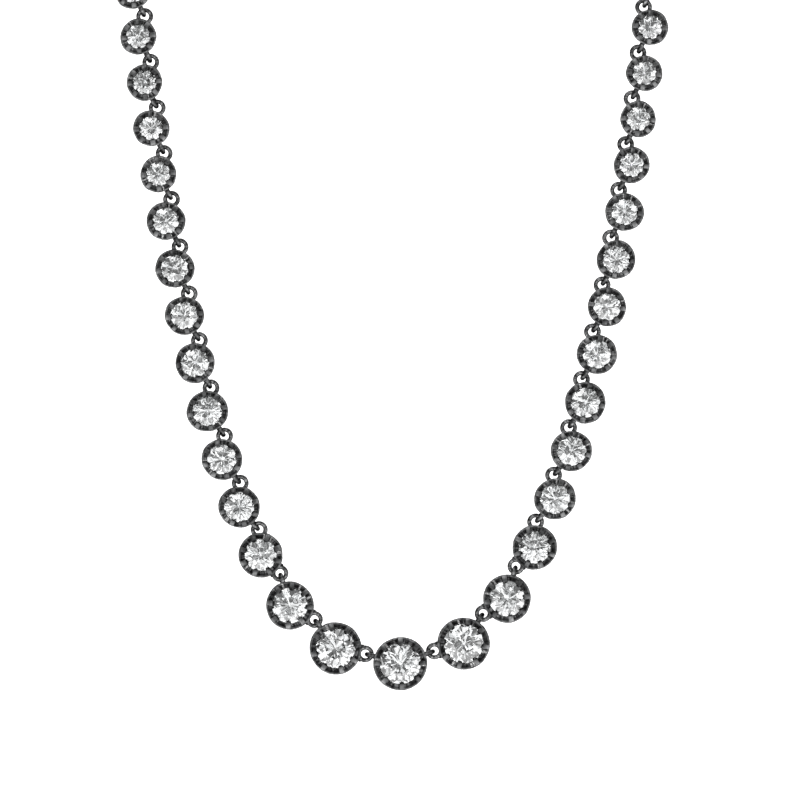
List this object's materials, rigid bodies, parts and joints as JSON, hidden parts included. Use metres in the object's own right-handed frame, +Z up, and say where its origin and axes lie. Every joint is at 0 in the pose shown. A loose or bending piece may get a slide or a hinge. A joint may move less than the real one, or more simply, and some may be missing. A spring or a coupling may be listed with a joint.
{
  "type": "riviere necklace",
  "caption": "Riviere necklace: graduated round brilliants in blackened cut-down claw settings, linked by rings and loops, closed behind the neck by a plain clasp.",
  "frame": {"origin": "the middle of the neck hoop, level with the backs of its settings, which rest on the shoulders", "axes": "+Z up, +X to the right of the front, -Y the way that the stones of the front face"},
  "size_m": [0.1005, 0.0581, 0.1578],
  "materials": {
    "blackened_silver": "oxidised silver, dark grey, brighter on the worn tops of the claws",
    "diamond": "clear, faceted and polished"
  },
  "bodies": {
    "root": {"setting_centre": "blackened_silver", "setting_left_01": "blackened_silver", "setting_left_02": "blackened_silver", "setting_left_03": "blackened_silver", "setting_left_04": "blackened_silver", "setting_left_05": "blackened_silver", "setting_left_06": "blackened_silver", "setting_left_07": "blackened_silver", "setting_left_08": "blackened_silver", "setting_left_09": "blackened_silver", "setting_left_10": "blackened_silver", "setting_left_11": "blackened_silver", "setting_left_12": "blackened_silver", "setting_left_13": "blackened_silver", "setting_left_14": "blackened_silver", "setting_left_15": "blackened_silver", "setting_right_01": "blackened_silver", "setting_right_02": "blackened_silver", "setting_right_03": "blackened_silver", "setting_right_04": "blackened_silver", "setting_right_05": "blackened_silver", "setting_right_06": "blackened_silver", "setting_right_07": "blackened_silver", "setting_right_08": "blackened_silver", "setting_right_09": "blackened_silver", "setting_right_10": "blackened_silver", "setting_right_11": "blackened_silver", "setting_right_12": "blackened_silver", "setting_right_13": "blackened_silver", "setting_right_14": "blackened_silver", "setting_right_15": "blackened_silver", "chain_back_left": "blackened_silver", "chain_back_right": "blackened_silver", "clasp": "blackened_silver", "stone_centre": "diamond", "stone_left_01": "diamond", "stone_left_02": "diamond", "stone_left_03": "diamond", "stone_left_04": "diamond", "stone_right_01": "diamond", "stone_right_02": "diamond", "stone_right_03": "diamond", "stone_right_04": "diamond", "stones_left": "diamond", "stones_right": "diamond", "stones_back_left": "diamond", "stones_back_right": "diamond"}
  },
  "joints": []
}
